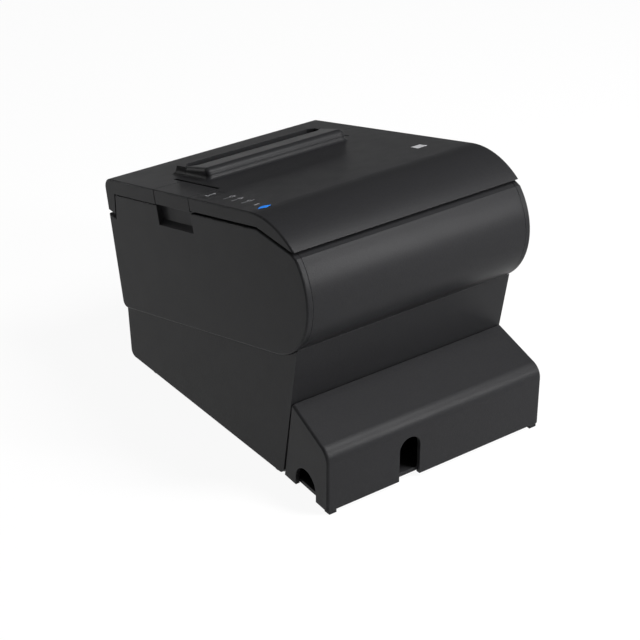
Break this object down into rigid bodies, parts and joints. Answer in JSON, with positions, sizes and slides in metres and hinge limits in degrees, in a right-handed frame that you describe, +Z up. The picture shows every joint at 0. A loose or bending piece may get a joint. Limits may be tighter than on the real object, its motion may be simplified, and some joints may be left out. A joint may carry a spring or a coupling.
{
  "type": "receipt printer",
  "caption": "Desktop thermal receipt printer: sloped roll cover over a rounded panel, raised paper exit rim, cover-open lever, feed button and a hooded cable cover.",
  "frame": {"origin": "centre of the bottom of the overall box, on the surface the printer stands on", "axes": "+X to the right seen from the side with the rounded panel and the cable cover, +Y towards the paper exit end, +Z up"},
  "size_m": [0.145, 0.2113, 0.1476],
  "materials": {
    "case_plastic": "fine matt texture",
    "switch_plastic": "smooth",
    "rubber": "matt",
    "inner_plastic": "smooth matt",
    "steel_sheet": "zinc plated sheet",
    "bright_steel": "ground",
    "hook_steel": "stamped",
    "blade_steel": "ground",
    "motor_steel": "drawn can",
    "gear_plastic": "moulded",
    "brass": "turned",
    "ceramic": "glazed",
    "aluminium": "extruded",
    "circuit_board": "solder mask",
    "lens": "clear moulding",
    "socket_plastic": "moulded",
    "socket_shield": "tinned shell"
  },
  "bodies": {
    "housing": {"lower_case": "case_plastic", "left_side_cover": "case_plastic", "right_side_cover": "case_plastic", "customer_panel": "case_plastic", "operator_panel": "case_plastic", "power_switch_frame": "switch_plastic", "rubber_feet": "rubber", "paper_bay": "inner_plastic", "paper_sensor": "inner_plastic", "lever_bracket": "inner_plastic", "main_frame": "steel_sheet", "cutter_plate": "steel_sheet", "frame_screws": "bright_steel", "hinge_pins": "bright_steel", "lever_pin": "bright_steel", "idler_post": "bright_steel", "head_pin": "bright_steel", "feed_motor": "motor_steel", "cutter_motor": "motor_steel", "print_head": "ceramic", "head_sink": "aluminium", "main_board": "circuit_board", "power_inlet": "socket_plastic", "drawer_jack": "socket_plastic", "usb_port": "socket_shield", "network_jack": "socket_shield"},
    "lid": {"lid_shell": "case_plastic", "left_hinge_arm": "inner_plastic", "right_hinge_arm": "inner_plastic", "platen_carrier": "inner_plastic", "platen_bushes": "gear_plastic", "fixed_blade": "blade_steel", "indicator_lenses": "lens", "control_board": "circuit_board"},
    "platen": {"platen_shaft": "bright_steel", "platen_rubber": "rubber", "platen_gear": "gear_plastic"},
    "feed_button": {"feed_button": "case_plastic"},
    "lever": {"open_lever": "case_plastic"},
    "lock": {"lock_shaft": "bright_steel", "lock_hooks": "hook_steel"},
    "blade": {"cutter_blade": "blade_steel", "cutter_rack": "bright_steel"},
    "cutter_pinion": {"cutter_pinion": "brass"},
    "cutter_cover": {"cutter_cover": "case_plastic"},
    "cable_cover": {"cable_cover": "case_plastic", "cable_cover_plate": "case_plastic"},
    "idler": {"idler_gear": "gear_plastic"},
    "motor_pinion": {"motor_pinion": "brass"},
    "power_rocker": {"power_rocker": "switch_plastic"}
  },
  "joints": [
    {"name": "lid_hinge", "type": "hinge", "parent": "housing", "child": "lid", "pos_m": [0, -0.07765, 0.11], "axis": [1, 0, 0], "range_deg": [0, 85]},
    {"name": "platen_turn", "type": "hinge", "parent": "lid", "child": "platen", "pos_m": [0, 0.04945, 0.1035], "axis": [1, 0, 0], "continuous": true},
    {"name": "feed_button_press", "type": "slide", "parent": "lid", "child": "feed_button", "axis": [0, -0.2387, -0.9711], "range_m": [0, 0.0006], "stiffness_N_per_m": 900, "springref_m": -0.0004},
    {"name": "lever_lift", "type": "hinge", "parent": "housing", "child": "lever", "pos_m": [-0.0566, -0.0011, 0.13183], "axis": [0, 0.9711, -0.2387], "range_deg": [0, 18], "stiffness_Nm_per_rad": 0.25, "springref_deg": -6.88},
    {"name": "lock_turn", "type": "hinge", "parent": "housing", "child": "lock", "pos_m": [0, 0.036, 0.088], "axis": [1, 0, 0], "range_deg": [-11.7, 0]},
    {"name": "blade_stroke", "type": "slide", "parent": "housing", "child": "blade", "axis": [0, -0.9711, 0.2387], "range_m": [0, 0.009]},
    {"name": "cutter_pinion_turn", "type": "hinge", "parent": "housing", "child": "cutter_pinion", "pos_m": [0.0152, 0.07966, 0.10848], "axis": [0, 0.2387, 0.9711], "range_deg": [-108, 0]},
    {"name": "cutter_cover_slide", "type": "slide", "parent": "housing", "child": "cutter_cover", "axis": [0, 0.9711, -0.2387], "range_m": [0, 0.028]},
    {"name": "cable_cover_pull", "type": "slide", "parent": "housing", "child": "cable_cover", "axis": [0, -1, 0], "range_m": [0, 0.06]},
    {"name": "idler_turn", "type": "hinge", "parent": "housing", "child": "idler", "pos_m": [0.053, 0.04839, 0.08273], "axis": [1, 0, 0], "continuous": true},
    {"name": "motor_turn", "type": "hinge", "parent": "housing", "child": "motor_pinion", "pos_m": [0.053, 0.05386, 0.06769], "axis": [1, 0, 0], "continuous": true},
    {"name": "power_switch", "type": "hinge", "parent": "housing", "child": "power_rocker", "pos_m": [-0.0575, 0.09475, 0.05837], "axis": [1, 0, 0], "range_deg": [0, 14]}
  ],
  "couplings": [
    {"joint": "motor_turn", "follows": "platen_turn", "ratio": 2},
    {"joint": "idler_turn", "follows": "platen_turn", "ratio": -0.85714},
    {"joint": "lock_turn", "follows": "lever_lift", "ratio": -0.65},
    {"joint": "cutter_pinion_turn", "follows": "blade_stroke", "rad_per_m": -208.33}
  ]
}
